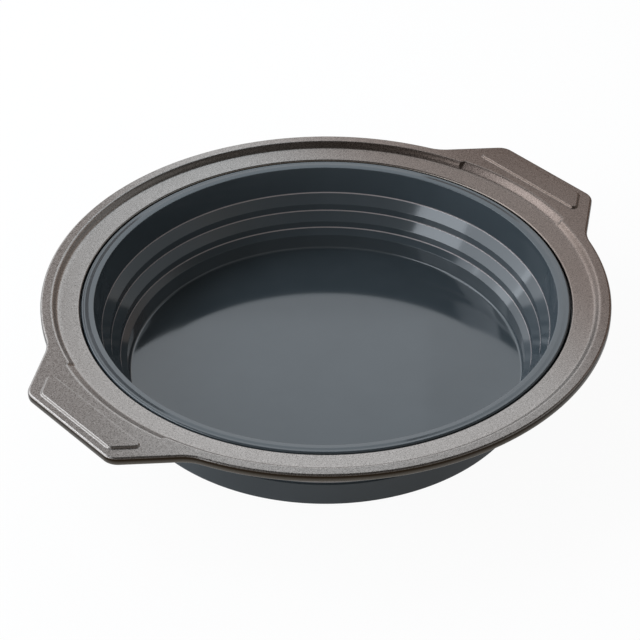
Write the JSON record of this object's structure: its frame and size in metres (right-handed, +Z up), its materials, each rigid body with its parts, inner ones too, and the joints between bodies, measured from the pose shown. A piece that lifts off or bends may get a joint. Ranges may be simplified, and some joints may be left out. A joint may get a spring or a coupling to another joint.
{
  "type": "collapsible cake pan",
  "caption": "Round collapsible silicone cake pan with stepped folds, hung in a pressed coated steel ring frame with grips.",
  "frame": {"origin": "on the pan's axis, at the height of the surface that the foot ring stands on", "axes": "+Z up along the pan's axis, +X out through the middle of one grip"},
  "size_m": [0.318, 0.282, 0.051],
  "materials": {
    "coated_steel": "satin metallic non-stick coating",
    "silicone": "smooth semi-gloss slate silicone"
  },
  "bodies": {
    "base": {"base_cup": "silicone", "lower_fold": "silicone"},
    "lower_band": {"lower_band": "silicone", "middle_fold": "silicone"},
    "upper_band": {"upper_band": "silicone", "upper_fold": "silicone"},
    "rim": {"silicone_rim": "silicone", "steel_frame": "coated_steel"}
  },
  "joints": [
    {"name": "lower_fold_collapse", "type": "slide", "parent": "base", "child": "lower_band", "axis": [0, 0, -1], "range_m": [0, 0.0054], "deforming": ["lower_fold"]},
    {"name": "middle_fold_collapse", "type": "slide", "parent": "lower_band", "child": "upper_band", "axis": [0, 0, -1], "range_m": [0, 0.009], "deforming": ["middle_fold"]},
    {"name": "upper_fold_collapse", "type": "slide", "parent": "upper_band", "child": "rim", "axis": [0, 0, -1], "range_m": [0, 0.0094], "deforming": ["upper_fold"]}
  ]
}
